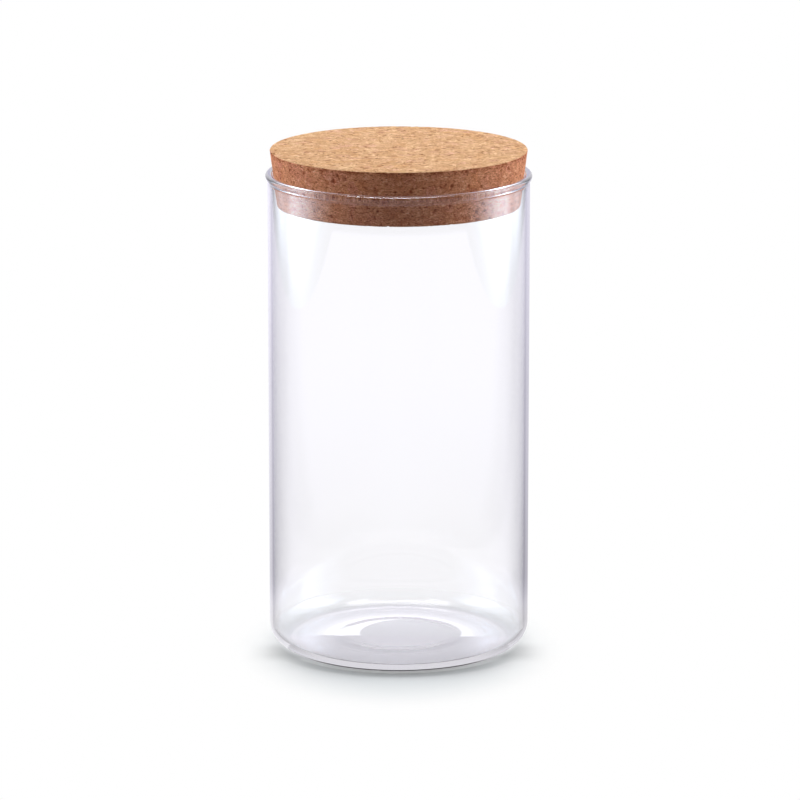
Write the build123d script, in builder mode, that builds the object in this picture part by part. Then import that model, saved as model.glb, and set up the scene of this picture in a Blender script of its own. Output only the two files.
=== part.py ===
from build123d import *
import os

# A glass storage jar and the cork that closes it. Lengths are in millimetres, +Z is up,
# and the origin is the centre of the ring that the jar stands on.

# Jar: body, heel and rim
body_radius = 55.0
wall_thickness = 1.75
jar_height = 203.0
heel_radius = 9.0
inner_heel_radius = 7.0
lip_stand_out = 0.9
lip_stand_in = 0.55
lip_half_height = 1.3
lip_blend_height = 2.6

# Jar: floor, of even thickness, whose middle stands a step higher
foot_width = 2.5
panel_radius = 22.0
step_width = 8.0
step_height = 0.8
push_up_height = 0.2
floor_thickness = 2.1

# Cork: a tapered plug, sized by the mouth that it closes
cork_thickness = 23.2
cork_flare = 3.0
cork_depth = 13.3
cork_edge_radius = 0.35

# Room between the cork and the lip that holds it
seat_clearance = 0.15

# Places that follow from the sizes
inner_radius = body_radius - wall_thickness
lip_outer_radius = body_radius + lip_stand_out
mouth_radius = inner_radius - lip_stand_in
lip_centre_height = jar_height - lip_half_height
blend_bottom_height = lip_centre_height - lip_blend_height
cork_bottom_height = jar_height - cork_depth
cork_radius_at_lip = mouth_radius - seat_clearance
cork_taper = cork_flare / cork_thickness
cork_bottom_radius = cork_radius_at_lip - cork_taper * (lip_centre_height - cork_bottom_height)
cork_top_radius = cork_bottom_radius + cork_flare
foot_outer_radius = body_radius - heel_radius
foot_inner_radius = foot_outer_radius - foot_width
step_radius = panel_radius + step_width
floor_edge_radius = inner_radius - inner_heel_radius


def stepped_face(height, edge_radius):
    """One face of the floor, from the axis out: a level panel, a step down and a shallow fall to height."""
    low = height + push_up_height
    high = low + step_height
    panel = Line((0, high), (panel_radius, high))
    step_middle = ((panel_radius + step_radius) / 2, (low + high) / 2)
    step_high = TangentArc(panel @ 1, step_middle, tangent=panel % 1)
    step_low = TangentArc(step_high @ 1, (step_radius, low), tangent=step_high % 1)
    fall = TangentArc(step_low @ 1, (edge_radius, height), tangent=step_low % 1)
    return panel, fall


# Glass jar: one revolved section, drawn from the axis round the outside to the axis
with BuildPart() as glass_jar:
    with BuildSketch(Plane.XZ):
        with BuildLine():
            underside_panel, underside_fall = stepped_face(0, foot_inner_radius)
            foot = Line(underside_fall @ 1, (foot_outer_radius, 0))
            heel = TangentArc(foot @ 1, (body_radius, heel_radius), tangent=foot % 1)
            wall = Line(heel @ 1, (body_radius, blend_bottom_height))
            outer_blend_middle = (
                (body_radius + lip_outer_radius) / 2,
                (blend_bottom_height + lip_centre_height) / 2,
            )
            outer_blend_low = TangentArc(wall @ 1, outer_blend_middle, tangent=wall % 1)
            outer_blend_high = TangentArc(
                outer_blend_low @ 1,
                (lip_outer_radius, lip_centre_height),
                tangent=outer_blend_low % 1,
            )
            lip = EllipticalCenterArc(
                ((mouth_radius + lip_outer_radius) / 2, lip_centre_height),
                (lip_outer_radius - mouth_radius) / 2,
                lip_half_height,
                start_angle=0,
                arc_size=180,
            )
            inner_blend_middle = (
                (mouth_radius + inner_radius) / 2,
                (blend_bottom_height + lip_centre_height) / 2,
            )
            inner_blend_high = TangentArc(
                (mouth_radius, lip_centre_height), inner_blend_middle, tangent=(0, -1)
            )
            inner_blend_low = TangentArc(
                inner_blend_high @ 1,
                (inner_radius, blend_bottom_height),
                tangent=inner_blend_high % 1,
            )
            inner_wall = Line(
                inner_blend_low @ 1, (inner_radius, floor_thickness + inner_heel_radius)
            )
            inner_heel = TangentArc(
                inner_wall @ 1, (floor_edge_radius, floor_thickness), tangent=inner_wall % 1
            )
            floor_panel, floor_fall = stepped_face(floor_thickness, floor_edge_radius)
            axis_line = Line(floor_panel @ 0, underside_panel @ 0)
        make_face()
    revolve(axis=Axis.Z)
glass_jar.part.label = "glass_jar"

# Cork lid: a cone frustum with lightly broken edges
with BuildPart() as cork_lid:
    with BuildSketch(Plane.XY.offset(cork_bottom_height)):
        Circle(cork_bottom_radius)
    with BuildSketch(Plane.XY.offset(cork_bottom_height + cork_thickness)):
        Circle(cork_top_radius)
    loft()
    fillet(cork_lid.edges().filter_by(GeomType.CIRCLE), radius=cork_edge_radius)
cork_lid.part.label = "cork_lid"

os.makedirs("parts", exist_ok=True)
export_step(glass_jar.part, "parts/glass_jar.step")
export_step(cork_lid.part, "parts/cork_lid.step")
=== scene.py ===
import math

import bmesh
import bpy
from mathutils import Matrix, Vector, noise


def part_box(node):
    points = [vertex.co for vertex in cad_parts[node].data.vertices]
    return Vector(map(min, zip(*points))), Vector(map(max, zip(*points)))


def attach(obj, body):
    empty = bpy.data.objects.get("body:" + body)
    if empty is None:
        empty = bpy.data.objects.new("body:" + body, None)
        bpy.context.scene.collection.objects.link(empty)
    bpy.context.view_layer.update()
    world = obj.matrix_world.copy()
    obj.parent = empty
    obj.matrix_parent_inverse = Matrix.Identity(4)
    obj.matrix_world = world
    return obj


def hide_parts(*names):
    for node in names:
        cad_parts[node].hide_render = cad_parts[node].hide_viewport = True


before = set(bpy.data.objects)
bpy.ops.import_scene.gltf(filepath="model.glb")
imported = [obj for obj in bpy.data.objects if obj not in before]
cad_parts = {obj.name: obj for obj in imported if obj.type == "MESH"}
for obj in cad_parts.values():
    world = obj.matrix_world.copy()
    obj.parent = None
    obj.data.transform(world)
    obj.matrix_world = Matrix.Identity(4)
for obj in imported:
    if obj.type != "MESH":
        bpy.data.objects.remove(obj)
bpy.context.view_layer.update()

# Lengths are in metres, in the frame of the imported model. A pair called ENDS is the two ends of a range,
# and a pair called LEVELS is what a range gives at its two ends.
MM = 0.001
FALLING = (1.0, 0.0)
WHITE = (1, 1, 1, 1)

# Sizes read from the frame
jar_low, jar_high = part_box("glass_jar")
cork_low, cork_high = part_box("cork_lid")
jar_height = jar_high.z - jar_low.z

# Jar section: the same sizes as the solid that the glass replaces
body_radius = 55.0 * MM
wall_thickness = 1.75 * MM
heel_radius = 9.0 * MM
inner_heel_radius = 7.0 * MM
lip_stand_out = 0.9 * MM
lip_stand_in = 0.55 * MM
lip_half_height = 1.3 * MM
lip_blend_height = 2.6 * MM
foot_width = 2.5 * MM
panel_radius = 22.0 * MM
step_width = 8.0 * MM
step_height = 0.8 * MM
push_up_height = 0.2 * MM
floor_thickness = 2.1 * MM

# How finely the glass follows its section
JAR_SIDES = 512
STEP_POINTS = 16
FALL_POINTS = 10
HEEL_POINTS = 24
INNER_HEEL_POINTS = 20
WALL_POINTS = 4
LIP_BLEND_POINTS = 12
LIP_POINTS = 24
STRAIGHT_END = 0.15 * MM
AXIS_TOLERANCE = 1e-9

# The direction that a curve in the section starts in, as the place of that number in a point
LEVEL = 0
UPRIGHT = 1

# Camera: fitted to the outlines in the photograph
CAMERA_PLACE = Vector((0.53 * MM, -2044.8 * MM, 586.85 * MM))
CAMERA_PITCH_DEG = 13.26
CAMERA_LENS_MM = 223.5
CAMERA_SENSOR_MM = 36.0
CAMERA_CLIP_END = 20.0


class Graph:
    """Short words for the nodes of one material, or of the world."""

    def __init__(self, owner):
        owner.use_nodes = True
        self.tree = owner.node_tree
        self.tree.nodes.clear()

    def add(self, kind, inputs=None, **settings):
        """A node of that kind. An input is a plain value, or another node's output."""
        node = self.tree.nodes.new("ShaderNode" + kind)
        for name, value in settings.items():
            setattr(node, name, value)
        for name, value in (inputs or {}).items():
            if isinstance(value, bpy.types.NodeSocket):
                self.tree.links.new(value, node.inputs[name])
            else:
                node.inputs[name].default_value = value
        return node

    def math(self, operation, *values):
        return self.add("Math", dict(enumerate(values)), operation=operation).outputs[0]

    def product(self, first, *others):
        for other in others:
            first = self.math("MULTIPLY", first, other)
        return first

    def remainder(self, share):
        """What the share leaves of 1."""
        return self.math("SUBTRACT", 1.0, share)

    def dimming(self, share, depth):
        """1 where the share is 0, and less by the depth where it is 1."""
        return self.remainder(self.product(share, depth))

    def spread(self, value, ends, levels=(0.0, 1.0)):
        """A smooth change from the first level to the second while the value goes from end to end."""
        inputs = {
            "Value": value,
            "From Min": ends[0],
            "From Max": ends[1],
            "To Min": levels[0],
            "To Max": levels[1],
        }
        return self.add("MapRange", inputs, interpolation_type="SMOOTHSTEP").outputs[0]

    def ring(self, value, rise_ends, fall_ends):
        """0, a smooth rise to 1, and a smooth fall back to 0."""
        return self.product(self.spread(value, rise_ends), self.spread(value, fall_ends, FALLING))

    def place(self):
        """The place on the surface, in the object's own coordinates."""
        return self.add("TexCoord").outputs["Object"]

    def vector(self, operation, *values):
        """A vector worked out from others, or a number for LENGTH and DISTANCE."""
        node = self.add("VectorMath", dict(enumerate(values)), operation=operation)
        return node.outputs["Value" if operation in ("LENGTH", "DISTANCE") else "Vector"]

    def axes(self, vector):
        """The three parts of a vector."""
        return self.add("SeparateXYZ", {0: vector}).outputs

    def colour(self, levels):
        return self.add("CombineColor", dict(enumerate(levels))).outputs[0]

    def mix_colours(self, share, first, second, blend="MIX"):
        node = self.add("Mix", {0: share, 6: first, 7: second}, data_type="RGBA", blend_type=blend)
        return node.outputs[2]

    def glow(self, strength, colour=WHITE):
        return self.add("Emission", {"Color": colour, "Strength": strength}).outputs[0]

    def mix_shaders(self, share, first, second):
        return self.add("MixShader", {0: share, 1: first, 2: second}).outputs[0]

    def add_shaders(self, first, second):
        return self.add("AddShader", {0: first, 1: second}).outputs[0]


def arc_points(centre, radius_r, radius_z, start_deg, end_deg, steps):
    """Points on an arc of an ellipse in the section plane, ends included."""
    points = []
    for k in range(steps + 1):
        angle = math.radians(start_deg + (end_deg - start_deg) * k / steps)
        points.append((centre[0] + radius_r * math.cos(angle), centre[1] + radius_z * math.sin(angle)))
    return points


def arc_drop(radius, run):
    """How far an arc has left its first direction after that run."""
    return radius - math.sqrt(radius * radius - run * run)


def s_curve(start, end, along, steps):
    """Two equal arcs that leave start and reach end in the same direction, LEVEL or UPRIGHT."""
    across = 1 - along
    run = (end[along] - start[along]) / 2
    rise = (end[across] - start[across]) / 2
    radius = (run * run + rise * rise) / (2 * abs(rise))
    points = []
    for k in range(steps + 1):
        travel = 2 * run * k / steps
        if abs(travel) <= abs(run):
            side = arc_drop(radius, travel)
        else:
            side = 2 * abs(rise) - arc_drop(radius, 2 * run - travel)
        point = [0, 0]
        point[along] = start[along] + travel
        point[across] = start[across] + math.copysign(side, rise)
        points.append(tuple(point))
    return points


def sag_curve(start, end, steps):
    """One arc that leaves start level and drops to end."""
    run, drop = end[0] - start[0], start[1] - end[1]
    radius = (run * run + drop * drop) / (2 * drop)
    return [
        (start[0] + run * k / steps, start[1] - arc_drop(radius, run * k / steps))
        for k in range(steps + 1)
    ]


def straight_run(start, end, steps=1):
    """Points on a straight line. A short step at each end keeps its shading flat up to the bends."""
    end_share = STRAIGHT_END / math.dist(start, end)
    shares = [end_share + (1 - 2 * end_share) * k / steps for k in range(steps + 1)]
    return [
        (start[0] + (end[0] - start[0]) * share, start[1] + (end[1] - start[1]) * share)
        for share in [0, *shares, 1]
    ]


def joined(*runs):
    """Runs of points end to end, each shared point once."""
    points = []
    for run in runs:
        points.extend(run if not points else run[1:])
    return points


def stepped_run(edge_radius):
    """One face of the floor, from the axis out: a level middle, a step down and a shallow fall to 0."""
    panel_height = push_up_height + step_height
    step_radius = panel_radius + step_width
    return joined(
        straight_run((0, panel_height), (panel_radius, panel_height)),
        s_curve((panel_radius, panel_height), (step_radius, push_up_height), LEVEL, STEP_POINTS),
        sag_curve((step_radius, push_up_height), (edge_radius, 0), FALL_POINTS),
    )


def jar_section():
    """The jar's half section, from the axis under the floor round the outside to the axis above it."""
    inner_radius = body_radius - wall_thickness
    lip_outer = body_radius + lip_stand_out
    mouth = inner_radius - lip_stand_in
    lip_height = jar_height - lip_half_height
    lip_centre = ((mouth + lip_outer) / 2, lip_height)
    blend_low = lip_height - lip_blend_height
    foot_outer = body_radius - heel_radius
    foot_inner = foot_outer - foot_width
    floor_edge = inner_radius - inner_heel_radius
    inner_heel_centre = (floor_edge, floor_thickness + inner_heel_radius)
    top_side = [(radius, height + floor_thickness) for radius, height in stepped_run(floor_edge)]
    return joined(
        stepped_run(foot_inner),
        straight_run((foot_inner, 0), (foot_outer, 0)),
        arc_points((foot_outer, heel_radius), heel_radius, heel_radius, -90, 0, HEEL_POINTS),
        straight_run((body_radius, heel_radius), (body_radius, blend_low), WALL_POINTS),
        s_curve((body_radius, blend_low), (lip_outer, lip_height), UPRIGHT, LIP_BLEND_POINTS),
        arc_points(lip_centre, (lip_outer - mouth) / 2, lip_half_height, 0, 180, LIP_POINTS),
        s_curve((mouth, lip_height), (inner_radius, blend_low), UPRIGHT, LIP_BLEND_POINTS),
        straight_run((inner_radius, blend_low), (inner_radius, inner_heel_centre[1]), WALL_POINTS),
        arc_points(
            inner_heel_centre, inner_heel_radius, inner_heel_radius, 0, -90, INNER_HEEL_POINTS
        ),
        top_side[::-1],
    )


def finished(name, mesh):
    """A smooth-shaded object from a bmesh."""
    bmesh.ops.recalc_face_normals(mesh, faces=mesh.faces)
    data = bpy.data.meshes.new(name)
    mesh.to_mesh(data)
    mesh.free()
    data.polygons.foreach_set("use_smooth", [True] * len(data.polygons))
    piece = bpy.data.objects.new(name, data)
    bpy.context.scene.collection.objects.link(piece)
    return piece


def lathe(name, section, sides):
    """A closed surface of revolution: the section's first and last points lie on the axis."""
    mesh = bmesh.new()
    turns = [2 * math.pi * k / sides for k in range(sides)]
    rings = []
    for radius, height in section:
        on_axis = radius < AXIS_TOLERANCE
        rings.append([
            mesh.verts.new((radius * math.cos(turn), radius * math.sin(turn), height))
            for turn in (turns[:1] if on_axis else turns)
        ])
    for low, high in zip(rings, rings[1:]):
        for k in range(sides):
            after = (k + 1) % sides
            corners = ((low, k), (low, after), (high, after), (high, k))
            # A ring on the axis is one vertex, and counts once in a face
            mesh.faces.new(list(dict.fromkeys(ring[side % len(ring)] for ring, side in corners)))
    return finished(name, mesh)


# Glass
GLASS_IOR = 1.47
GLASS_TINT = (0.56, 0.50, 0.90, 1)
GLASS_TINT_DENSITY = 10.0

# Light that passes straight through: less at a slant, and less through the front of the heel
SLANT_ENDS = (0.6, 1.0)
SLANT_LEVELS = (1.0, 0.45)
HEEL_SHADE = 0.55
HEEL_SHADE_ENDS = (-40 * MM, -5 * MM)

# Rays that are mirrored more often would end in black, so there the glass glows with a painted light that
# stands in for the room
MOST_MIRRORED = 2.5
TRAPPED_PAINTED_GLOW = (0.56, 0.56, 0.58, 1)
TRAPPED_BODY_ENDS = (jar_height - 16 * MM, jar_height - 8 * MM)
TRAPPED_LIP_ENDS = (jar_height - 8 * MM, jar_height - 4 * MM)
TRAPPED_LIP_LEVELS = (1.0, 0.5)
TRAPPED_FOOT_ENDS = (4 * MM, 10 * MM)
TRAPPED_FOOT_LEVELS = (1.3, 0.9)
TRAPPED_FRONT_ENDS = (-50 * MM, -25 * MM)
TRAPPED_FRONT_LEVELS = (0.12, 1.0)


def glass_material():
    """Clear glass. It bends what is seen through it, and lets the light of lamps straight through."""
    material = bpy.data.materials.new("clear_glass")
    graph = Graph(material)
    path = graph.add("LightPath").outputs
    place = graph.place()
    _, y, z = graph.axes(place)
    glass = graph.add("BsdfPrincipled", {
        "Base Color": WHITE,
        "Roughness": 0.0,
        "IOR": GLASS_IOR,
        "Transmission Weight": 1.0,
    }).outputs[0]

    slant = graph.add("LayerWeight", {"Blend": 0.5}).outputs["Facing"]
    from_axis = graph.vector("LENGTH", graph.vector("MULTIPLY", place, (1, 1, 0)))
    front_heel = graph.product(
        graph.math("GREATER_THAN", from_axis, body_radius - heel_radius),
        graph.math("LESS_THAN", z, heel_radius),
        graph.spread(y, HEEL_SHADE_ENDS, FALLING),
    )
    passed = graph.product(
        graph.spread(slant, SLANT_ENDS, SLANT_LEVELS), graph.dimming(front_heel, HEEL_SHADE)
    )
    clear = graph.add("BsdfTransparent", {"Color": graph.colour([passed] * 3)}).outputs[0]
    straight = graph.math("MAXIMUM", path["Is Shadow Ray"], path["Is Diffuse Ray"])
    seen = graph.mix_shaders(straight, glass, clear)

    # Painted light: the glass glows for rays mirrored that often, more at the foot and less at the lip and
    # at the front of the upper wall
    trapped = graph.math("GREATER_THAN", path["Glossy Depth"], MOST_MIRRORED)
    below_lip = graph.spread(z, TRAPPED_BODY_ENDS, FALLING)
    off_front = graph.spread(y, TRAPPED_FRONT_ENDS, TRAPPED_FRONT_LEVELS)
    trapped_level = graph.product(
        graph.math("MAXIMUM", below_lip, off_front),
        graph.spread(z, TRAPPED_LIP_ENDS, TRAPPED_LIP_LEVELS),
        graph.spread(z, TRAPPED_FOOT_ENDS, TRAPPED_FOOT_LEVELS),
    )
    absorb = graph.add("VolumeAbsorption", {"Color": GLASS_TINT, "Density": GLASS_TINT_DENSITY})
    graph.add("OutputMaterial", {
        "Surface": graph.mix_shaders(trapped, seen, graph.glow(trapped_level, TRAPPED_PAINTED_GLOW)),
        "Volume": absorb.outputs[0],
    })
    return material


glass = lathe("clear_glass_jar", jar_section(), JAR_SIDES)
glass.data.materials.append(glass_material())
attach(glass, "jar")
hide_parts("glass_jar")


# Cork: pressed granules, sanded flat, with open seams and small pits
CORK_GRID = 176
CORK_SIDE_ROWS = 38
CORK_EDGE_ROWS = 4
CORK_EDGE_RADIUS = 0.5 * MM
CORK_FLARE = 3.0 * MM
GRAIN_NAMES = ("pit", "seam", "tone")

# Vector noise starts from the clock unless it is seeded, and a seed of 0 also means the clock
NOISE_SEED = 1

# Grain that is modelled. A SCALE is for places counted in granules, and a SEED picks a random share.
GRANULE_SIZE = 4.0 * MM
GRANULE_DEPTH = 0.06 * MM
GRANULE_BEND = 0.4
GRANULE_BEND_SCALE = 1.9
TONE_SEED = (0, 0, 0)
GRANULE_DEPTH_SEED = (31, 17, 5)
SEAM_DEPTH = 0.10 * MM
SEAM_WIDTH_ENDS = (0.02, 0.16)
OPEN_SEAM_SCALE = 0.8
OPEN_SEAM_ENDS = (-0.1, 0.45)
PIT_DEPTH = 0.40 * MM
PIT_SPACING = 7.0 * MM
PIT_BEND = 0.25
PIT_BEND_SCALE = 1.3
PIT_SIZE_LEVELS = (0.04, 0.13)
PIT_SIZE_SEED = (3, 7, 13)
PIT_EMPTY_SHARE = 0.35
PIT_EMPTY_SEED = (19, 23, 2)
PIT_RAGGEDNESS = 0.05
PIT_RAGGED_SCALE = 4.1
PIT_EDGE_SHARES = (0.6, 1.3)
SMALL_PIT_SCALE = 2.3
SMALL_PIT_SHIFT = (9, 4, 1)
SMALL_PIT_ENDS = (0.42, 0.62)
SMALL_PIT_SHARE = 0.8

# Colours of the granules, by their tone
CORK_TAN = (0.77, 0.436, 0.240, 1)
CORK_YELLOW = (0.80, 0.470, 0.248, 1)
CORK_ORANGE = (0.78, 0.430, 0.214, 1)
CORK_PINK = (0.77, 0.416, 0.250, 1)
CORK_TONES = (
    (0.0, CORK_PINK),
    (0.25, CORK_TAN),
    (0.5, CORK_YELLOW),
    (0.75, CORK_TAN),
    (1.0, CORK_ORANGE),
)
# The side is redder and darker than the faces: partly the cork's own colour, partly painted shade
CORK_SIDE_COLOUR_AND_SHADE = (1.06, 0.715, 0.71, 1)
CORK_FLATTENING = (0.8, 1.1, 2.2)
CORK_SPECULAR = 0.05
CORK_ROUGHNESS_LEVELS = (0.95, 0.8)
CORK_BUMP_SHARE = 0.35
CORK_BUMP_DEPTH = 0.08 * MM

# Painted grain. Each SHIFT puts another part of the same endless pattern on the cork.
ROUGH_DETAIL = 2.0
SMOOTH_DETAIL = 1.0
WOBBLE_SIZE = 1.6 * MM
WOBBLE = 1.2 * MM
NOISE_ENDS = (0.3, 0.7)
PATCH_SIZE = 5.0 * MM
PATCH_LEVELS = (0.92, 1.08)
CLOUD_SIZE = 1.8 * MM
CLOUD_LEVELS = (0.95, 1.05)
FINE_SIZE = 0.6 * MM
FINE_LEVELS = (0.92, 1.08)
LIGHT_DASH_SIZE = 2.4 * MM
LIGHT_DASH_ENDS = (0.60, 0.64)
LIGHT_DASH_SHIFT = 0.3
DARK_DASH_SIZE = 2.0 * MM
DARK_DASH_ENDS = (0.63, 0.67)
DARK_DASH_SHIFT = 0.7
CHIP_SIZE = 1.8 * MM
CHIP_ENDS = (0.48, 0.56)
CHIP_SHIFT = 0.5
CHIP_HEIGHT_ENDS = (cork_high.z - 2.4 * MM, cork_high.z - 0.6 * MM)
DOT_SPACING = 2.2 * MM
DOT_LOWEST_SIZE = -0.15
DOT_SIZE_SPAN = 0.34

# Lines: the size of their cells, their width and their shift
LIGHT_LINES = (3.2 * MM, 0.14 * MM, 0.0)
SMALL_LIGHT_LINES = (1.8 * MM, 0.12 * MM, 0.3)
DARK_LINES = (2.6 * MM, 0.13 * MM, 0.6)
LINE_EDGE_SHARES = (0.3, 1.2)
LINE_CLOUD_SIZE = 2.6 * MM
LINE_CLOUD_ENDS = (0.48, 0.58)

# How much each kind of mark adds to a level of 1, or takes off it
MARK_CHANGES = {
    "light_dash": 0.16,
    "dark_dash": -0.48,
    "light_line": 0.38,
    "dark_line": -0.32,
    "dot": -0.6,
    "chip": -0.35,
    "seam": -0.15,
    "pit": -0.55,
}

# The side is told from the faces by how upright its normal is, and the channel powers turn the level
# into red, green and blue
SIDE_NORMAL_ENDS = (0.3, 0.8)
SIDE_FINE_POWER = 2.2
SIDE_CONTRAST = 0.08
CHANNEL_POWERS = (0.76, 1.28, 1.58)


def smooth(value, ends):
    """0 at the first end, 1 at the second and a smooth rise between them."""
    t = min(max((value - ends[0]) / (ends[1] - ends[0]), 0.0), 1.0)
    return t * t * (3 - 2 * t)


def cell_share(centre, seed):
    """A random share that belongs to the cell with that centre."""
    return noise.cell(centre + Vector(seed)) % 1.0


def pit_share(place, spot):
    """1 in the middle of a large pit, less in a small one, and 0 on sound cork."""
    pit_spot = place / PIT_SPACING + PIT_BEND * noise.noise_vector(spot * PIT_BEND_SCALE)
    distances, centres = noise.voronoi(pit_spot)
    small_pit = smooth(noise.noise(spot * SMALL_PIT_SCALE + Vector(SMALL_PIT_SHIFT)), SMALL_PIT_ENDS)
    small_pit *= SMALL_PIT_SHARE
    if cell_share(centres[0], PIT_EMPTY_SEED) <= PIT_EMPTY_SHARE:
        return small_pit
    smallest, largest = PIT_SIZE_LEVELS
    size = smallest + (largest - smallest) * cell_share(centres[0], PIT_SIZE_SEED)
    ragged = distances[0] + PIT_RAGGEDNESS * noise.noise(spot * PIT_RAGGED_SCALE)
    large_pit = 1 - smooth(ragged, [size * share for share in PIT_EDGE_SHARES])
    return max(large_pit, small_pit)


def cork_grain(place):
    """Depth under the plain face, and the shares of pit, seam and tone, at a place on the cork."""
    spot = place / GRANULE_SIZE
    bent = spot + GRANULE_BEND * noise.noise_vector(spot * GRANULE_BEND_SCALE)
    distances, centres = noise.voronoi(bent)
    opened = smooth(noise.noise(spot * OPEN_SEAM_SCALE), OPEN_SEAM_ENDS)
    seam = (1 - smooth(distances[1] - distances[0], SEAM_WIDTH_ENDS)) * opened
    pit = pit_share(place, spot)
    low_share = cell_share(centres[0], GRANULE_DEPTH_SEED)
    depth = SEAM_DEPTH * seam + PIT_DEPTH * pit + GRANULE_DEPTH * low_share
    return depth, pit, seam, cell_share(centres[0], TONE_SEED)


def disc_spot(across, along):
    """A place in the square from -1 to 1 moved to the round disc of radius 1."""
    if across == 0 and along == 0:
        return 0.0, 0.0
    if abs(across) > abs(along):
        angle = math.pi / 4 * along / across
        return across * math.cos(angle), across * math.sin(angle)
    angle = math.pi / 2 - math.pi / 4 * across / along
    return along * math.cos(angle), along * math.sin(angle)


def rim_order(last):
    """The grid places along the four sides of the square, in turn."""
    order = [(k, 0) for k in range(last)]
    order += [(last, k) for k in range(last)]
    order += [(last - k, last) for k in range(last)]
    order += [(0, last - k) for k in range(last)]
    return order


def cork_profile():
    """Radius, height and outward normal down the side, from the top's border to the underside's."""
    top_radius = cork_high.x
    low_radius = top_radius - CORK_FLARE
    top_centre = cork_high.z - CORK_EDGE_RADIUS
    low_centre = cork_low.z + CORK_EDGE_RADIUS
    tall = cork_high.z - cork_low.z
    lean = math.atan2(CORK_FLARE, tall)

    def edge_row(outer_radius, centre_height, angle):
        radius = outer_radius - CORK_EDGE_RADIUS * (1 - math.cos(angle))
        height = centre_height + CORK_EDGE_RADIUS * math.sin(angle)
        return radius, height, (math.cos(angle), math.sin(angle))

    rows = []
    for k in range(CORK_EDGE_ROWS):
        angle = math.pi / 2 - (math.pi / 2 + lean) * k / CORK_EDGE_ROWS
        rows.append(edge_row(top_radius, top_centre, angle))
    for k in range(CORK_SIDE_ROWS + 1):
        height = top_centre + (low_centre - top_centre) * k / CORK_SIDE_ROWS
        radius = top_radius - CORK_FLARE * (cork_high.z - height) / tall
        rows.append((radius, height, (math.cos(lean), -math.sin(lean))))
    for k in range(1, CORK_EDGE_ROWS + 1):
        angle = -lean - (math.pi / 2 - lean) * k / CORK_EDGE_ROWS
        rows.append(edge_row(low_radius, low_centre, angle))
    return rows


def cork_mesh():
    """Two round faces of square grids, joined by the side, all worn inwards by the grain."""
    noise.seed_set(NOISE_SEED)
    mesh = bmesh.new()
    layers = [mesh.verts.layers.float.new(name) for name in GRAIN_NAMES]

    def worn(place, normal):
        depth, *shares = cork_grain(place)
        vertex = mesh.verts.new(place - depth * normal)
        for layer, share in zip(layers, shares):
            vertex[layer] = share
        return vertex

    steps = range(CORK_GRID + 1)
    spots = {
        (i, j): disc_spot(2 * i / CORK_GRID - 1, 2 * j / CORK_GRID - 1) for i in steps for j in steps
    }
    rim = rim_order(CORK_GRID)
    profile = cork_profile()
    borders = []
    for (radius, height, _), up in ((profile[0], 1), (profile[-1], -1)):
        face = {
            spot: worn(Vector((radius * x, radius * y, height)), Vector((0, 0, up)))
            for spot, (x, y) in spots.items()
        }
        for i in range(CORK_GRID):
            for j in range(CORK_GRID):
                mesh.faces.new([face[i, j], face[i + 1, j], face[i + 1, j + 1], face[i, j + 1]])
        borders.append([face[spot] for spot in rim])
    rings = [borders[0]]
    for radius, height, (out, up) in profile[1:-1]:
        rings.append([
            worn(Vector((radius * x, radius * y, height)), Vector((out * x, out * y, up)))
            for x, y in (spots[spot] for spot in rim)
        ])
    rings.append(borders[1])
    for upper, lower in zip(rings, rings[1:]):
        for k in range(len(rim)):
            after = (k + 1) % len(rim)
            mesh.faces.new([upper[k], upper[after], lower[after], lower[k]])
    return finished("pressed_cork_lid", mesh)


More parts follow.
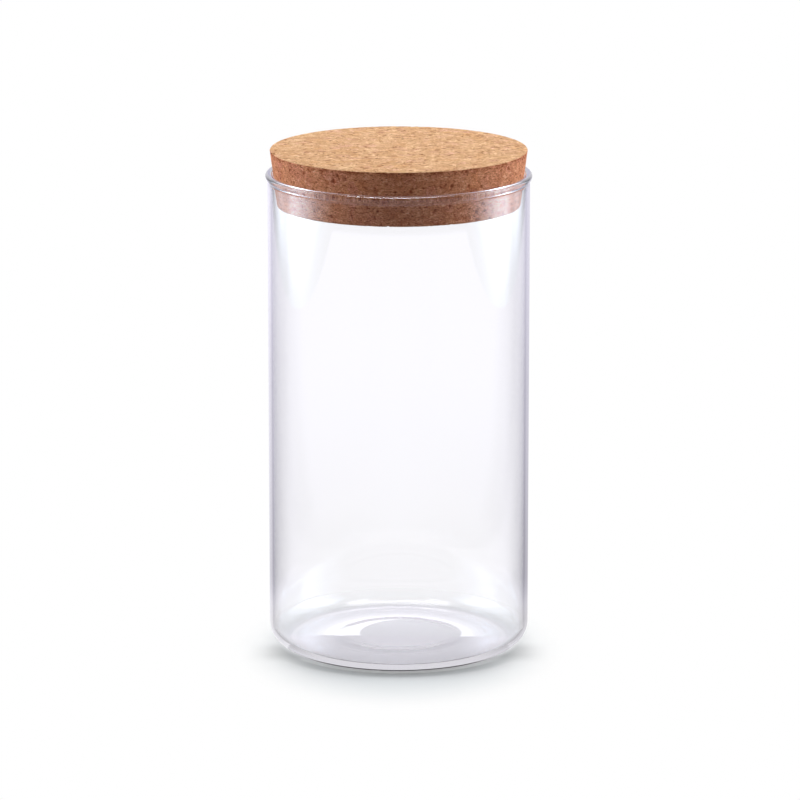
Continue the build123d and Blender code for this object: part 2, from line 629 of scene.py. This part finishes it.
def cork_material():
    """Sanded cork: tan granules with dashes, lines, dots, seams and pits, and a redder, darker side that
    is partly painted shade.
    """
    material = bpy.data.materials.new("cork")
    graph = Graph(material)
    coords = graph.add("TexCoord").outputs
    pit, seam, tone = (
        graph.add("Attribute", attribute_name=name).outputs["Fac"] for name in GRAIN_NAMES
    )

    # The granules are pressed flat, so the pattern is wider than it is tall
    flat = graph.vector("MULTIPLY", coords["Object"], CORK_FLATTENING)
    wobble = graph.add("TexNoise", {"Vector": flat, "Scale": 1 / WOBBLE_SIZE, "Detail": SMOOTH_DETAIL})
    bent = graph.vector("MULTIPLY_ADD", wobble.outputs["Color"], (WOBBLE, WOBBLE, WOBBLE), flat)

    def grain(size, detail, spot=flat):
        return graph.add("TexNoise", {"Vector": spot, "Scale": 1 / size, "Detail": detail}).outputs[0]

    def moved(shift):
        return graph.vector("ADD", bent, (shift, shift, shift))

    def lines(size, width, shift):
        """Thin borders of cells of that size, kept where a cloudy noise allows them."""
        spot = moved(shift)
        cells = graph.add("TexVoronoi", {"Vector": spot, "Scale": 1 / size}, feature="DISTANCE_TO_EDGE")
        edge_ends = [share * width / size for share in LINE_EDGE_SHARES]
        return graph.product(
            graph.spread(cells.outputs["Distance"], edge_ends, FALLING),
            graph.spread(grain(LINE_CLOUD_SIZE, SMOOTH_DETAIL, spot), LINE_CLOUD_ENDS),
        )

    up = graph.axes(coords["Normal"])["Z"]
    side = graph.spread(graph.math("ABSOLUTE", up), SIDE_NORMAL_ENDS, FALLING)
    light_dash = grain(LIGHT_DASH_SIZE, ROUGH_DETAIL, moved(LIGHT_DASH_SHIFT))
    dark_dash = grain(DARK_DASH_SIZE, ROUGH_DETAIL, moved(DARK_DASH_SHIFT))
    chip = grain(CHIP_SIZE, SMOOTH_DETAIL, moved(CHIP_SHIFT))
    under_edge = graph.spread(graph.axes(coords["Object"])["Z"], CHIP_HEIGHT_ENDS)
    dots = graph.add("TexVoronoi", {"Vector": bent, "Scale": 1 / DOT_SPACING}).outputs
    dot_share = graph.axes(dots["Color"])["X"]
    dot_size = graph.math("MULTIPLY_ADD", dot_share, DOT_SIZE_SPAN, DOT_LOWEST_SIZE)
    marks = {
        "light_dash": graph.spread(light_dash, LIGHT_DASH_ENDS),
        "dark_dash": graph.spread(dark_dash, DARK_DASH_ENDS),
        "light_line": graph.math("MAXIMUM", lines(*LIGHT_LINES), lines(*SMALL_LIGHT_LINES)),
        "dark_line": lines(*DARK_LINES),
        "dot": graph.math("LESS_THAN", dots["Distance"], dot_size),
        "chip": graph.product(graph.spread(chip, CHIP_ENDS), side, under_edge),
        "seam": seam,
        "pit": pit,
    }

    # The level of the cork: 1 where it is plain
    patches = graph.spread(grain(PATCH_SIZE, ROUGH_DETAIL), NOISE_ENDS, PATCH_LEVELS)
    cloudy = graph.spread(grain(CLOUD_SIZE, ROUGH_DETAIL), NOISE_ENDS, CLOUD_LEVELS)
    fine = graph.spread(grain(FINE_SIZE, SMOOTH_DETAIL), NOISE_ENDS, FINE_LEVELS)
    fine_level = graph.math("POWER", fine, graph.math("MULTIPLY_ADD", side, SIDE_FINE_POWER, 1.0))
    mark_levels = [
        graph.math("MULTIPLY_ADD", share, MARK_CHANGES[name], 1.0) for name, share in marks.items()
    ]
    level = graph.product(patches, cloudy, fine_level, *mark_levels)

    # The sawn side has more contrast than the sanded faces, and lighter spots are paler too
    contrast = graph.math("MULTIPLY_ADD", side, SIDE_CONTRAST, 1.0)
    channels = [graph.math("POWER", level, graph.product(contrast, power)) for power in CHANNEL_POWERS]
    ramp = graph.add("ValToRGB", {0: tone})
    stops = ramp.color_ramp.elements
    while len(stops) < len(CORK_TONES):
        stops.new(0.5)
    for stop, (position, colour) in zip(stops, CORK_TONES):
        stop.position, stop.color = position, colour
    marked = graph.mix_colours(1.0, ramp.outputs[0], graph.colour(channels), "MULTIPLY")
    bump_inputs = {"Strength": CORK_BUMP_SHARE, "Distance": CORK_BUMP_DEPTH, "Height": fine}
    # The side takes a redder, darker colour, which is partly painted shade
    shader = graph.add("BsdfPrincipled", {
        "Base Color": graph.mix_colours(side, marked, CORK_SIDE_COLOUR_AND_SHADE, "MULTIPLY"),
        "Roughness": graph.spread(fine, FINE_LEVELS, CORK_ROUGHNESS_LEVELS),
        "Specular IOR Level": CORK_SPECULAR,
        "Normal": graph.add("Bump", bump_inputs).outputs[0],
    })
    graph.add("OutputMaterial", {"Surface": shader.outputs[0]})
    return material


cork = cork_mesh()
cork.data.materials.append(cork_material())
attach(cork, "lid")
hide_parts("cork_lid")


# Studio: a white floor and backdrop. The glass mirrors a bright table, backdrop and softboxes, and a dim
# room between them, which is what draws the dark edges of clear glass. A ray has been mirrored once its
# Glossy Depth is above MIRRORED_DEPTH.
FLOOR_RADIUS = 1.3
FLOOR_SIDES = 96
MIRRORED_DEPTH = 0.5
ROOM_LEVEL = 0.06
NEAR_TINT = (1.0, 0.98, 1.02, 1)
BACKDROP_ENDS = (0.83, 0.98)

# Paper round the jar: it takes shadows, and turns into plain white farther out
PAPER_LEVEL = 0.85
SHADOW_CENTRE = (0, -12 * MM, 0)
SHADOW_NARROWING = (1.3, 1.0, 1.0)
SHADOW_ENDS = (50 * MM, 94 * MM)
BOUNCE_COLOUR = (0.35, 0.35, 0.35, 1)

# Painted light and shade on the paper under the jar, seen through its base: a line parts a bright far half
# from a dim near half, a disc in the middle stays grey, and a painted tint colours the near half most
UNDER_JAR_ENDS = (46 * MM, 52 * MM)
BASE_LINE_TILT = 0.03
BASE_LINE_ENDS = (-0.8 * MM, 0.8 * MM)
BASE_DISC_PLACE = (5.0 * MM, 4.3 * MM, 0)
BASE_DISC_ENDS = (21.0 * MM, 22.4 * MM)
BASE_TINT = (0.985, 0.95, 0.99, 1)
FAR_TINT_SHARE = 0.4
FAR_LIGHT_ENDS = (33.5 * MM, 38.5 * MM)
FAR_LIGHT_LEVELS = (0.27, 0.04)
ARC_LIGHT_ENDS = (29.5 * MM, 33.5 * MM)
ARC_LIGHT_LEVELS = (0.35, 0.0)
FLANK_LIGHT_ENDS = (24 * MM, 44 * MM)
FLANK_LIGHT_LEVELS = (0.0, 0.28)
NEAR_DIMNESS = 0.17
DISC_DIMNESS_ENDS = (-4 * MM, 24 * MM)
DISC_DIMNESS_LEVELS = (0.13, 0.0)

# Painted light and shade on the paper round the foot, in rings by their distance from the axis. In front
# of it, a thin painted dark line comes first, then a lighter ring of painted light and a soft painted
# shade, and each starts where the one before it ends.
# Painted shadow under the heel's overhang, all round the foot and deeper behind the jar
OVERHANG_RISE_ENDS = (45 * MM, 48 * MM)
OVERHANG_FALL_ENDS = (54 * MM, 60 * MM)
OVERHANG_BACK_ENDS = (10 * MM, 40 * MM)
OVERHANG_SHADE_LEVELS = (0.08, 0.24)
IN_FRONT_ENDS = (-38 * MM, -27 * MM)
FRONT_RING_ENDS = (
    (46.8 * MM, 47.2 * MM),
    (48.3 * MM, 48.8 * MM),
    (51.0 * MM, 53.5 * MM),
    (56.0 * MM, 60.0 * MM),
)
CONTACT_SHADE = 0.88
FRONT_LIGHT = 0.13
FRONT_SHADE = 0.12

# Paper beside the foot: a painted shade at each flank, a little in front of the axis
BESIDE_RISE_ENDS = (48.5 * MM, 52.5 * MM)
BESIDE_INNER_ENDS = (38 * MM, 45 * MM)
BESIDE_OUTER_ENDS = (52 * MM, 68 * MM)
BESIDE_AHEAD = 20 * MM
BESIDE_LENGTH_ENDS = (4 * MM, 18 * MM)
BESIDE_SHADE = 0.36

# What the glass mirrors of the floor. Reach and direction start from the places that mirror it, which
# are MIRROR_ASIDE to both sides of the axis and MIRROR_AHEAD in front of it.
MIRROR_ASIDE = 50 * MM
MIRROR_AHEAD = 22 * MM
MIRROR_TINT = (1.0, 0.96, 1.18, 1)
TABLE_EDGE_ENDS = (0.975, 0.995)
TABLE_FORWARD_ENDS = (0.0, 0.4)
TABLE_REACH_ENDS = (0.06, 0.45)
TABLE_REACH_LEVELS = (0.58, 1.0)
TABLE_CLOSE_ENDS = (0.03, 0.09)
TABLE_CLOSE_LEVELS = (0.6, 1.0)
FARTHER_ENDS = (0.04, 0.13)
LOSS_FORWARD_ENDS = (0.25, 0.64)
LOSS_REACH_ENDS = (0.4, 0.9)
LOSS_REACH_LEVELS = (0.62, 0.44)
NEAR_JAR_ENDS = (72 * MM, 92 * MM)
NEAR_JAR_ASIDE_ENDS = (32 * MM, 58 * MM)
NEAR_JAR_ASIDE_LEVELS = (0.72, 0.45)
BACKDROP_SIDE_ENDS = (-0.05, 0.05)
BACKDROP_SIDE_LEVELS = (0.52, 0.27)


def seen_straight(graph, path):
    """1 for rays from the camera, also through the glass, and 0 once they are mirrored."""
    unmirrored = graph.math("LESS_THAN", path["Glossy Depth"], MIRRORED_DEPTH)
    through = graph.product(path["Is Transmission Ray"], unmirrored)
    return graph.math("MAXIMUM", path["Is Camera Ray"], through)


def seen_in_mirror(graph, path):
    """1 for rays that were mirrored, unless they light a plain surface."""
    mirrored = graph.math("GREATER_THAN", path["Glossy Depth"], MIRRORED_DEPTH)
    return graph.product(mirrored, graph.remainder(path["Is Diffuse Ray"]))


def backdrop_share(graph, forward):
    """How much of the white backdrop mirrored rays find in that direction."""
    return graph.spread(forward, BACKDROP_ENDS)


def painted_base_light_and_shade(graph, place):
    """The painted light, shade and tint of the paper that is seen through the jar's base."""
    x, y, _ = graph.axes(place)
    aside = graph.math("ABSOLUTE", x)
    from_axis = graph.vector("LENGTH", place)
    under_jar = graph.spread(from_axis, UNDER_JAR_ENDS, FALLING)
    line = graph.math("ADD", y, graph.product(x, BASE_LINE_TILT))
    far_half = graph.spread(line, BASE_LINE_ENDS)
    near_half = graph.remainder(far_half)
    off_disc = graph.spread(graph.vector("DISTANCE", place, BASE_DISC_PLACE), BASE_DISC_ENDS)

    far_level = graph.spread(from_axis, FAR_LIGHT_ENDS, FAR_LIGHT_LEVELS)
    arc_level = graph.spread(from_axis, ARC_LIGHT_ENDS, ARC_LIGHT_LEVELS)
    far_light = graph.product(far_half, off_disc, graph.math("ADD", far_level, arc_level))
    flank_light = graph.product(near_half, graph.spread(aside, FLANK_LIGHT_ENDS, FLANK_LIGHT_LEVELS))
    light = graph.product(under_jar, graph.math("ADD", far_light, flank_light))

    near_dimness = graph.product(near_half, off_disc, NEAR_DIMNESS)
    disc_level = graph.spread(line, DISC_DIMNESS_ENDS, DISC_DIMNESS_LEVELS)
    disc_dimness = graph.product(graph.remainder(off_disc), disc_level)
    shade = graph.dimming(under_jar, graph.math("ADD", near_dimness, disc_dimness))

    half_share = graph.math("MULTIPLY_ADD", near_half, 1 - FAR_TINT_SHARE, FAR_TINT_SHARE)
    tint = graph.mix_colours(graph.product(under_jar, half_share), WHITE, BASE_TINT)
    return light, shade, tint


def painted_foot_light_and_shade(graph, place):
    """The painted light and shade of the paper round the foot."""
    x, y, _ = graph.axes(place)
    aside = graph.math("ABSOLUTE", x)
    from_axis = graph.vector("LENGTH", place)
    in_front = graph.spread(y, IN_FRONT_ENDS, FALLING)
    overhang = graph.ring(from_axis, OVERHANG_RISE_ENDS, OVERHANG_FALL_ENDS)
    overhang_shade = graph.spread(y, OVERHANG_BACK_ENDS, OVERHANG_SHADE_LEVELS)
    contact, front_light, front_shade = (
        graph.product(in_front, graph.ring(from_axis, rise_ends, fall_ends))
        for rise_ends, fall_ends in zip(FRONT_RING_ENDS, FRONT_RING_ENDS[1:])
    )
    off_middle = graph.math("ABSOLUTE", graph.math("ADD", y, BESIDE_AHEAD))
    beside = graph.product(
        graph.spread(from_axis, BESIDE_RISE_ENDS),
        graph.ring(aside, BESIDE_INNER_ENDS, BESIDE_OUTER_ENDS),
        graph.spread(off_middle, BESIDE_LENGTH_ENDS, FALLING),
    )
    shade = graph.product(
        graph.dimming(overhang, overhang_shade),
        graph.dimming(contact, CONTACT_SHADE),
        graph.dimming(front_shade, FRONT_SHADE),
        graph.dimming(beside, BESIDE_SHADE),
    )
    return graph.product(front_light, FRONT_LIGHT), shade


def mirrored_floor(graph, place):
    """What the glass mirrors of the floor: a table, dimmer close by and aside, and the backdrop."""
    x, y, _ = graph.axes(place)
    aside = graph.math("ABSOLUTE", x)
    from_axis = graph.vector("LENGTH", place)
    ahead = graph.math("ADD", y, MIRROR_AHEAD)
    outward = graph.math("SUBTRACT", aside, MIRROR_ASIDE)
    reach = graph.vector("LENGTH", graph.add("CombineXYZ", {0: outward, 1: ahead}).outputs[0])
    forward = graph.math("DIVIDE", ahead, reach)
    farther = graph.spread(reach, FARTHER_ENDS)

    on_table = graph.spread(from_axis, TABLE_EDGE_ENDS, (1.0, ROOM_LEVEL))
    aside_loss = graph.product(
        farther,
        graph.spread(reach, LOSS_REACH_ENDS, LOSS_REACH_LEVELS),
        graph.spread(forward, LOSS_FORWARD_ENDS),
    )
    table_level = graph.product(
        graph.math("MAXIMUM", on_table, graph.spread(forward, TABLE_FORWARD_ENDS)),
        graph.spread(reach, TABLE_REACH_ENDS, TABLE_REACH_LEVELS),
        graph.spread(reach, TABLE_CLOSE_ENDS, TABLE_CLOSE_LEVELS),
        graph.remainder(aside_loss),
    )
    near_jar_level = graph.product(
        graph.spread(from_axis, NEAR_JAR_ENDS, FALLING),
        graph.spread(aside, NEAR_JAR_ASIDE_ENDS, NEAR_JAR_ASIDE_LEVELS),
    )
    backdrop_level = graph.product(
        graph.spread(x, BACKDROP_SIDE_ENDS, BACKDROP_SIDE_LEVELS), backdrop_share(graph, forward)
    )
    tint = graph.mix_colours(farther, NEAR_TINT, MIRROR_TINT)
    return graph.add_shaders(
        graph.glow(graph.math("MAXIMUM", table_level, near_jar_level), tint),
        graph.glow(backdrop_level, NEAR_TINT),
    )


def floor_material():
    """White paper: it takes shadows and painted light and shade near the jar, and is plain white further
    out where it is seen.
    """
    material = bpy.data.materials.new("floor")
    graph = Graph(material)
    path = graph.add("LightPath").outputs
    place = graph.place()
    # Light and shade painted on the paper under and round the jar
    base_light, base_shade, tint = painted_base_light_and_shade(graph, place)
    foot_light, foot_shade = painted_foot_light_and_shade(graph, place)
    shade = graph.product(base_shade, foot_shade)
    light = graph.math("ADD", base_light, foot_light)

    # Near the jar, part of the paper's white is its own glow, so that the shadow stays light
    paper_level = graph.product(shade, PAPER_LEVEL)
    paper_colour = graph.mix_colours(1.0, graph.colour([paper_level] * 3), tint, "MULTIPLY")
    paper = graph.add("BsdfDiffuse", {"Color": paper_colour}).outputs[0]
    glow_level = graph.math("MULTIPLY_ADD", shade, 1 - PAPER_LEVEL, light)
    near_paper = graph.add_shaders(paper, graph.glow(glow_level, tint))

    from_centre = graph.vector("SUBTRACT", place, SHADOW_CENTRE)
    from_shadow = graph.vector("LENGTH", graph.vector("MULTIPLY", from_centre, SHADOW_NARROWING))
    far = graph.spread(from_shadow, SHADOW_ENDS)
    seen_paper = graph.mix_shaders(far, near_paper, graph.glow(1.0))
    bounce = graph.add("BsdfDiffuse", {"Color": BOUNCE_COLOUR}).outputs[0]
    unseen_paper = graph.mix_shaders(seen_in_mirror(graph, path), bounce, mirrored_floor(graph, place))
    graph.add("OutputMaterial", {
        "Surface": graph.mix_shaders(seen_straight(graph, path), unseen_paper, seen_paper),
    })
    return material


floor_mesh = bmesh.new()
bmesh.ops.create_circle(floor_mesh, cap_ends=True, segments=FLOOR_SIDES, radius=FLOOR_RADIUS)
floor = finished("floor", floor_mesh)
floor.data.materials.append(floor_material())


# Softboxes: one lamp overhead, and a glowing card at each side. Mirrors see the cards fade out to both
# sides, more so towards the backdrop, and dimmer at the foot.
TOP_LAMP_PLACE = (0, 0.45, 1.25)
TOP_LAMP_TARGET = (0, 0, 0.1)
TOP_LAMP_WIDTH = 1.2
TOP_LAMP_DEPTH = 1.0
TOP_LAMP_LEVEL = 1.9
CARD_WIDTH = 1.6
CARD_HEIGHT = 1.0
CARD_TARGET = (0, -0.03, 0.45)
LEFT_CARD_PLACE = (-0.73, 0.11, 0.45)
LEFT_CARD_LEVEL = 2.9
RIGHT_CARD_PLACE = (0.73, 0.12, 0.45)
RIGHT_CARD_LEVEL = 3.2
CARD_LIGHT_COLOUR = (0.97, 1.07, 1.12, 1)
CARD_LIGHT_ENDS = (0.025, 0.5)
CARD_MIRROR_COLOUR = (1.27, 1.47, 1.70, 1)
CARD_CORE_ENDS = (0.03, 0.34)
CARD_CORE_SHARE = 0.45
CARD_WIDE_START = 0.1
CARD_FORWARD_ENDS = (0.05, 0.22)
CARD_FORWARD_LEVELS = (1.0, 0.4)
CARD_FOOT_ENDS = (-0.45, -0.395)
CARD_FOOT_LEVELS = (0.3, 1.0)


def aim(thing, place, target, front):
    """Puts a lamp or card at a place, with its front axis to the target."""
    thing.location = place
    thing.rotation_mode = "QUATERNION"
    thing.rotation_quaternion = (Vector(target) - Vector(place)).to_track_quat(front, "Y")


def top_lamp():
    """A softbox overhead, whose face is as bright as its level times white."""
    data = bpy.data.lights.new("softbox_top", "AREA")
    data.shape = "RECTANGLE"
    data.size = TOP_LAMP_WIDTH
    data.size_y = TOP_LAMP_DEPTH
    data.energy = TOP_LAMP_LEVEL * math.pi * TOP_LAMP_WIDTH * TOP_LAMP_DEPTH
    lamp = bpy.data.objects.new("softbox_top", data)
    aim(lamp, TOP_LAMP_PLACE, TOP_LAMP_TARGET, "-Z")
    bpy.context.scene.collection.objects.link(lamp)


def card_material(name, forward_sign, level):
    """A glow that fades out to both sides. Mirrors and lit faces see it, and the camera doesn't."""
    material = bpy.data.materials.new(name)
    graph = Graph(material)
    path = graph.add("LightPath").outputs
    x, y, _ = graph.axes(graph.place())
    aside = graph.math("ABSOLUTE", x)
    lit_level = graph.product(graph.spread(aside, CARD_LIGHT_ENDS, FALLING), level)
    core = graph.spread(aside, CARD_CORE_ENDS, (CARD_CORE_SHARE, 0.0))
    wide = graph.spread(aside, (CARD_WIDE_START, CARD_WIDTH / 2), (1 - CARD_CORE_SHARE, 0.0))
    forward = graph.product(x, forward_sign)
    forward_fade = graph.spread(forward, CARD_FORWARD_ENDS, CARD_FORWARD_LEVELS)
    mirrored_level = graph.product(
        graph.math("MINIMUM", graph.math("ADD", core, wide), forward_fade),
        level,
        graph.spread(y, CARD_FOOT_ENDS, CARD_FOOT_LEVELS),
    )
    glow = graph.mix_shaders(
        seen_in_mirror(graph, path),
        graph.glow(lit_level, CARD_LIGHT_COLOUR),
        graph.glow(mirrored_level, CARD_MIRROR_COLOUR),
    )
    hidden = graph.add("BsdfTransparent", {"Color": WHITE}).outputs[0]
    graph.add("OutputMaterial", {
        "Surface": graph.mix_shaders(seen_straight(graph, path), glow, hidden),
    })
    return material


def glow_card(name, place, level):
    """A wide card beside the jar that glows and casts no shadow."""
    half_wide, half_tall = CARD_WIDTH / 2, CARD_HEIGHT / 2
    mesh = bmesh.new()
    mesh.faces.new([
        mesh.verts.new((across * half_wide, up * half_tall, 0))
        for across, up in ((-1, -1), (1, -1), (1, 1), (-1, 1))
    ])
    card = finished(name, mesh)
    aim(card, place, CARD_TARGET, "Z")
    card.visible_shadow = False
    card.data.materials.append(card_material(name, -math.copysign(1, place[0]), level))


top_lamp()
glow_card("softbox_left", LEFT_CARD_PLACE, LEFT_CARD_LEVEL)
glow_card("softbox_right", RIGHT_CARD_PLACE, RIGHT_CARD_LEVEL)


# World: white where it is seen, and soft light on plain surfaces, most of it from the backdrop's side
AMBIENT_ENDS = (0.0, 0.9)
AMBIENT_LEVELS = (0.15, 0.8)
BACKDROP_LEVEL = 0.9
ROOM_LEVEL_ABOVE = 0.55
ABOVE_ENDS = (0.0, 0.25)
ABOVE_FORWARD_ENDS = (-0.1, 0.4)
TOP_LIGHT_ENDS = (0.89, 0.95)
TOP_LIGHT_LEVELS = (0.0, 14.0)


def studio_world():
    """The backdrop and the room, as the camera, mirrors and plain surfaces find them."""
    world = bpy.data.worlds.new("studio")
    bpy.context.scene.world = world
    graph = Graph(world)
    path = graph.add("LightPath").outputs
    _, forward, up = graph.axes(graph.add("TexCoord").outputs["Generated"])

    def background(strength, colour=WHITE):
        return graph.add("Background", {"Color": colour, "Strength": strength}).outputs[0]

    above = graph.product(graph.spread(up, ABOVE_ENDS), graph.spread(forward, ABOVE_FORWARD_ENDS))
    plain_level = graph.math("ADD", ROOM_LEVEL, graph.spread(up, TOP_LIGHT_ENDS, TOP_LIGHT_LEVELS))
    room_level = graph.math("MULTIPLY_ADD", above, ROOM_LEVEL_ABOVE, plain_level)
    backdrop_level = graph.product(backdrop_share(graph, forward), BACKDROP_LEVEL)
    mirrored = background(graph.math("MAXIMUM", room_level, backdrop_level), NEAR_TINT)
    ambient = background(graph.spread(forward, AMBIENT_ENDS, AMBIENT_LEVELS))
    unseen = graph.mix_shaders(seen_in_mirror(graph, path), ambient, mirrored)
    graph.add("OutputWorld", {
        "Surface": graph.mix_shaders(seen_straight(graph, path), unseen, background(1.0)),
    })


studio_world()

camera_data = bpy.data.cameras.new("camera")
camera_data.lens = CAMERA_LENS_MM
camera_data.sensor_width = CAMERA_SENSOR_MM
camera_data.clip_end = CAMERA_CLIP_END
camera = bpy.data.objects.new("camera", camera_data)
camera.location = CAMERA_PLACE
camera.rotation_euler = (math.radians(90 - CAMERA_PITCH_DEG), 0, 0)
bpy.context.scene.collection.objects.link(camera)
bpy.context.scene.camera = camera
bpy.context.scene.view_settings.view_transform = "Standard"
